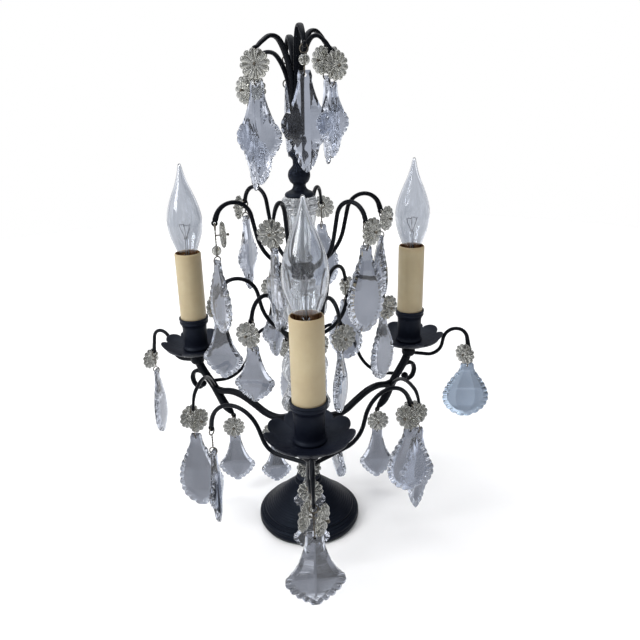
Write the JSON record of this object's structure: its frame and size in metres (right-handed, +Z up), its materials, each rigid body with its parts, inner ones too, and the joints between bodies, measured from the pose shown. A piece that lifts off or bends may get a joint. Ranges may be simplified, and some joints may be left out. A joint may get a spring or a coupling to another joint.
{
  "type": "girandole candle holder",
  "caption": "Girandole candle holder: round foot, turned stem with glass sections, strap arms with electric candle lamps and drip pans, and swinging crystal pendants on bent wire hooks.",
  "frame": {"origin": "centre of the felt underside of the foot, on the stem's axis", "axes": "+Z up along the stem; -Y along the front candle arm, so the other two arms point 30 degrees and 150 degrees round from +X"},
  "size_m": [0.3796, 0.3273, 0.4681],
  "materials": {
    "patina": "dark blackened patina, satin",
    "crystal": "cut and polished",
    "stem_glass": "pressed and polished",
    "bulb_glass": "clear",
    "sleeve": "waxy card tube, matt",
    "socket": "moulded, satin",
    "fastener": "zinc plated",
    "felt": "wool felt"
  },
  "bodies": {
    "base": {"felt_pad": "felt", "foot": "patina", "foot_nut": "fastener", "stem_rod": "fastener", "lower_stem": "patina", "arm_hub": "patina", "arm_screws": "fastener", "glass_flare": "stem_glass", "glass_ball": "stem_glass", "lower_hook_ring": "patina", "glass_bulge": "stem_glass", "upper_hook_ring": "patina", "glass_vase": "stem_glass", "spindle": "patina", "crown": "patina", "candle_arm_front": "patina", "candle_arm_right": "patina", "candle_arm_left": "patina", "drip_pans": "patina", "candle_cups": "patina", "candle_sleeves": "sleeve", "lamp_sockets": "socket"},
    "bulb_front": {"bulb_front": "bulb_glass"},
    "bulb_right": {"bulb_right": "bulb_glass"},
    "bulb_left": {"bulb_left": "bulb_glass"},
    "crown_drop_1": {"crown_drop_1": "crystal"},
    "crown_drop_2": {"crown_drop_2": "crystal"},
    "crown_drop_3": {"crown_drop_3": "crystal"},
    "crown_drop_4": {"crown_drop_4": "crystal"},
    "crown_drop_5": {"crown_drop_5": "crystal"},
    "crown_drop_6": {"crown_drop_6": "crystal"},
    "upper_drop_1": {"upper_drop_1": "crystal"},
    "upper_drop_2": {"upper_drop_2": "crystal"},
    "upper_drop_3": {"upper_drop_3": "crystal"},
    "upper_drop_4": {"upper_drop_4": "crystal"},
    "upper_drop_5": {"upper_drop_5": "crystal"},
    "upper_drop_6": {"upper_drop_6": "crystal"},
    "lower_drop_1": {"lower_drop_1": "crystal"},
    "lower_drop_2": {"lower_drop_2": "crystal"},
    "lower_drop_3": {"lower_drop_3": "crystal"},
    "lower_drop_4": {"lower_drop_4": "crystal"},
    "lower_drop_5": {"lower_drop_5": "crystal"},
    "lower_drop_6": {"lower_drop_6": "crystal"},
    "tip_drop_front": {"tip_drop_front": "crystal"},
    "tip_drop_right": {"tip_drop_right": "crystal"},
    "tip_drop_left": {"tip_drop_left": "crystal"},
    "side_drop_front_a": {"side_drop_front_a": "crystal"},
    "side_drop_front_b": {"side_drop_front_b": "crystal"},
    "side_drop_right_a": {"side_drop_right_a": "crystal"},
    "side_drop_right_b": {"side_drop_right_b": "crystal"},
    "side_drop_left_a": {"side_drop_left_a": "crystal"},
    "side_drop_left_b": {"side_drop_left_b": "crystal"},
    "leaf_drop_front": {"leaf_drop_front": "crystal"},
    "leaf_drop_right": {"leaf_drop_right": "crystal"},
    "leaf_drop_left": {"leaf_drop_left": "crystal"},
    "bar_drop_front": {"bar_drop_front": "crystal"},
    "bar_drop_right": {"bar_drop_right": "crystal"},
    "bar_drop_left": {"bar_drop_left": "crystal"}
  },
  "joints": [
    {"name": "crown_drop_1_swing", "type": "hinge", "parent": "base", "child": "crown_drop_1", "pos_m": [0.02675, 0.02409, 0.452], "axis": [0.6691, -0.7431, 0], "range_deg": [-3, 25]},
    {"name": "crown_drop_2_swing", "type": "hinge", "parent": "base", "child": "crown_drop_2", "pos_m": [-0.00749, 0.03521, 0.446], "axis": [0.9781, 0.2079, 0], "range_deg": [-3, 25]},
    {"name": "crown_drop_3_swing", "type": "hinge", "parent": "base", "child": "crown_drop_3", "pos_m": [-0.03804, 0.01236, 0.43], "axis": [0.309, 0.9511, 0], "range_deg": [-3, 25]},
    {"name": "crown_drop_4_swing", "type": "hinge", "parent": "base", "child": "crown_drop_4", "pos_m": [-0.03121, -0.0281, 0.449], "axis": [-0.6691, 0.7431, 0], "range_deg": [-1, 25]},
    {"name": "crown_drop_5_swing", "type": "hinge", "parent": "base", "child": "crown_drop_5", "pos_m": [0.00624, -0.02934, 0.452], "axis": [-0.9781, -0.2079, 0], "range_deg": [-3, 25]},
    {"name": "crown_drop_6_swing", "type": "hinge", "parent": "base", "child": "crown_drop_6", "pos_m": [0.02853, -0.00927, 0.447], "axis": [-0.309, -0.9511, 0], "range_deg": [-3, 25]},
    {"name": "upper_drop_1_swing", "type": "hinge", "parent": "base", "child": "upper_drop_1", "pos_m": [0.07334, 0.01693, 0.3139], "axis": [0.225, -0.9744, 0], "range_deg": [-8, 25]},
    {"name": "upper_drop_2_swing", "type": "hinge", "parent": "base", "child": "upper_drop_2", "pos_m": [0.02201, 0.07198, 0.3139], "axis": [0.9563, -0.2924, 0], "range_deg": [-8, 25]},
    {"name": "upper_drop_3_swing", "type": "hinge", "parent": "base", "child": "upper_drop_3", "pos_m": [-0.05148, 0.05521, 0.31971], "axis": [0.7314, 0.682, 0], "range_deg": [-8, 25]},
    {"name": "upper_drop_4_swing", "type": "hinge", "parent": "base", "child": "upper_drop_4", "pos_m": [-0.07334, -0.01693, 0.3139], "axis": [-0.225, 0.9744, 0], "range_deg": [-2, 25]},
    {"name": "upper_drop_5_swing", "type": "hinge", "parent": "base", "child": "upper_drop_5", "pos_m": [-0.02213, -0.07238, 0.32362], "axis": [-0.9563, 0.2924, 0], "range_deg": [-8, 25]},
    {"name": "upper_drop_6_swing", "type": "hinge", "parent": "base", "child": "upper_drop_6", "pos_m": [0.05134, -0.05506, 0.31873], "axis": [-0.7314, -0.682, 0], "range_deg": [-8, 25]},
    {"name": "lower_drop_1_swing", "type": "hinge", "parent": "base", "child": "lower_drop_1", "pos_m": [0.07286, -0.00895, 0.23809], "axis": [-0.1219, -0.9925, 0], "range_deg": [-18, 10]},
    {"name": "lower_drop_2_swing", "type": "hinge", "parent": "base", "child": "lower_drop_2", "pos_m": [0.04417, 0.05862, 0.23809], "axis": [0.7986, -0.6018, 0], "range_deg": [-18, 10]},
    {"name": "lower_drop_3_swing", "type": "hinge", "parent": "base", "child": "lower_drop_3", "pos_m": [-0.02868, 0.06757, 0.23809], "axis": [0.9205, 0.3907, 0], "range_deg": [-18, 10]},
    {"name": "lower_drop_4_swing", "type": "hinge", "parent": "base", "child": "lower_drop_4", "pos_m": [-0.07799, 0.00958, 0.2403], "axis": [0.1219, 0.9925, 0], "range_deg": [-10, 6]},
    {"name": "lower_drop_5_swing", "type": "hinge", "parent": "base", "child": "lower_drop_5", "pos_m": [-0.04442, -0.05895, 0.24005], "axis": [-0.7986, 0.6018, 0], "range_deg": [-18, 10]},
    {"name": "lower_drop_6_swing", "type": "hinge", "parent": "base", "child": "lower_drop_6", "pos_m": [0.02868, -0.06757, 0.23809], "axis": [-0.9205, -0.3907, 0], "range_deg": [-18, 10]},
    {"name": "tip_drop_front_swing", "type": "hinge", "parent": "base", "child": "tip_drop_front", "pos_m": [0, -0.18829, 0.1499], "axis": [-1, 0, 0], "range_deg": [-15, 30]},
    {"name": "tip_drop_right_swing", "type": "hinge", "parent": "base", "child": "tip_drop_right", "pos_m": [0.17586, 0.06338, 0.15581], "axis": [-0.0175, -0.9998, 0], "range_deg": [-15, 30]},
    {"name": "tip_drop_left_swing", "type": "hinge", "parent": "base", "child": "tip_drop_left", "pos_m": [-0.16413, 0.09985, 0.1499], "axis": [0.5592, 0.829, 0], "range_deg": [-15, 30]},
    {"name": "side_drop_front_a_swing", "type": "hinge", "parent": "base", "child": "side_drop_front_a", "pos_m": [0.09112, -0.06106, 0.1572], "axis": [0.5299, -0.848, 0], "range_deg": [-20, 5]},
    {"name": "side_drop_front_b_swing", "type": "hinge", "parent": "base", "child": "side_drop_front_b", "pos_m": [-0.08396, -0.06653, 0.1448], "axis": [0.5299, 0.848, 0], "range_deg": [-20, 5]},
    {"name": "side_drop_right_a_swing", "type": "hinge", "parent": "base", "child": "side_drop_right_a", "pos_m": [0.01771, 0.10867, 0.15435], "axis": [0.5299, 0.848, 0], "range_deg": [-12, 5]},
    {"name": "side_drop_right_b_swing", "type": "hinge", "parent": "base", "child": "side_drop_right_b", "pos_m": [0.10591, -0.02705, 0.13587], "axis": [-0.9848, -0.1736, 0], "range_deg": [-20, 5]},
    {"name": "side_drop_left_a_swing", "type": "hinge", "parent": "base", "child": "side_drop_left_a", "pos_m": [-0.10489, -0.02717, 0.14405], "axis": [-0.9925, 0.1219, 0], "range_deg": [-20, 5]},
    {"name": "side_drop_left_b_swing", "type": "hinge", "parent": "base", "child": "side_drop_left_b", "pos_m": [-0.01771, 0.10867, 0.15435], "axis": [0.5299, -0.848, 0], "range_deg": [-12, 5]},
    {"name": "leaf_drop_front_swing", "type": "hinge", "parent": "base", "child": "leaf_drop_front", "pos_m": [0, -0.088, 0.0965], "axis": [-1, 0, 0], "range_deg": [-15, 20]},
    {"name": "leaf_drop_right_swing", "type": "hinge", "parent": "base", "child": "leaf_drop_right", "pos_m": [0.07621, 0.044, 0.0965], "axis": [0.5, -0.866, 0], "range_deg": [-15, 20]},
    {"name": "leaf_drop_left_swing", "type": "hinge", "parent": "base", "child": "leaf_drop_left", "pos_m": [-0.07621, 0.044, 0.0965], "axis": [0.5, 0.866, 0], "range_deg": [-15, 20]},
    {"name": "bar_drop_front_swing", "type": "hinge", "parent": "base", "child": "bar_drop_front", "pos_m": [0, -0.038, 0.096], "axis": [-1, 0, 0], "range_deg": [-2, 15]},
    {"name": "bar_drop_right_swing", "type": "hinge", "parent": "base", "child": "bar_drop_right", "pos_m": [0.03291, 0.019, 0.096], "axis": [0.5, -0.866, 0], "range_deg": [-2, 15]},
    {"name": "bar_drop_left_swing", "type": "hinge", "parent": "base", "child": "bar_drop_left", "pos_m": [-0.03291, 0.019, 0.096], "axis": [0.5, 0.866, 0], "range_deg": [-2, 15]},
    {"name": "bulb_front_turn", "type": "hinge", "parent": "base", "child": "bulb_front", "pos_m": [0, -0.129, 0.24], "axis": [0, 0, 1], "range_deg": [0, 720]},
    {"name": "bulb_right_turn", "type": "hinge", "parent": "base", "child": "bulb_right", "pos_m": [0.11172, 0.0645, 0.24], "axis": [0, 0, 1], "range_deg": [0, 720]},
    {"name": "bulb_left_turn", "type": "hinge", "parent": "base", "child": "bulb_left", "pos_m": [-0.11172, 0.0645, 0.24], "axis": [0, 0, 1], "range_deg": [0, 720]}
  ]
}
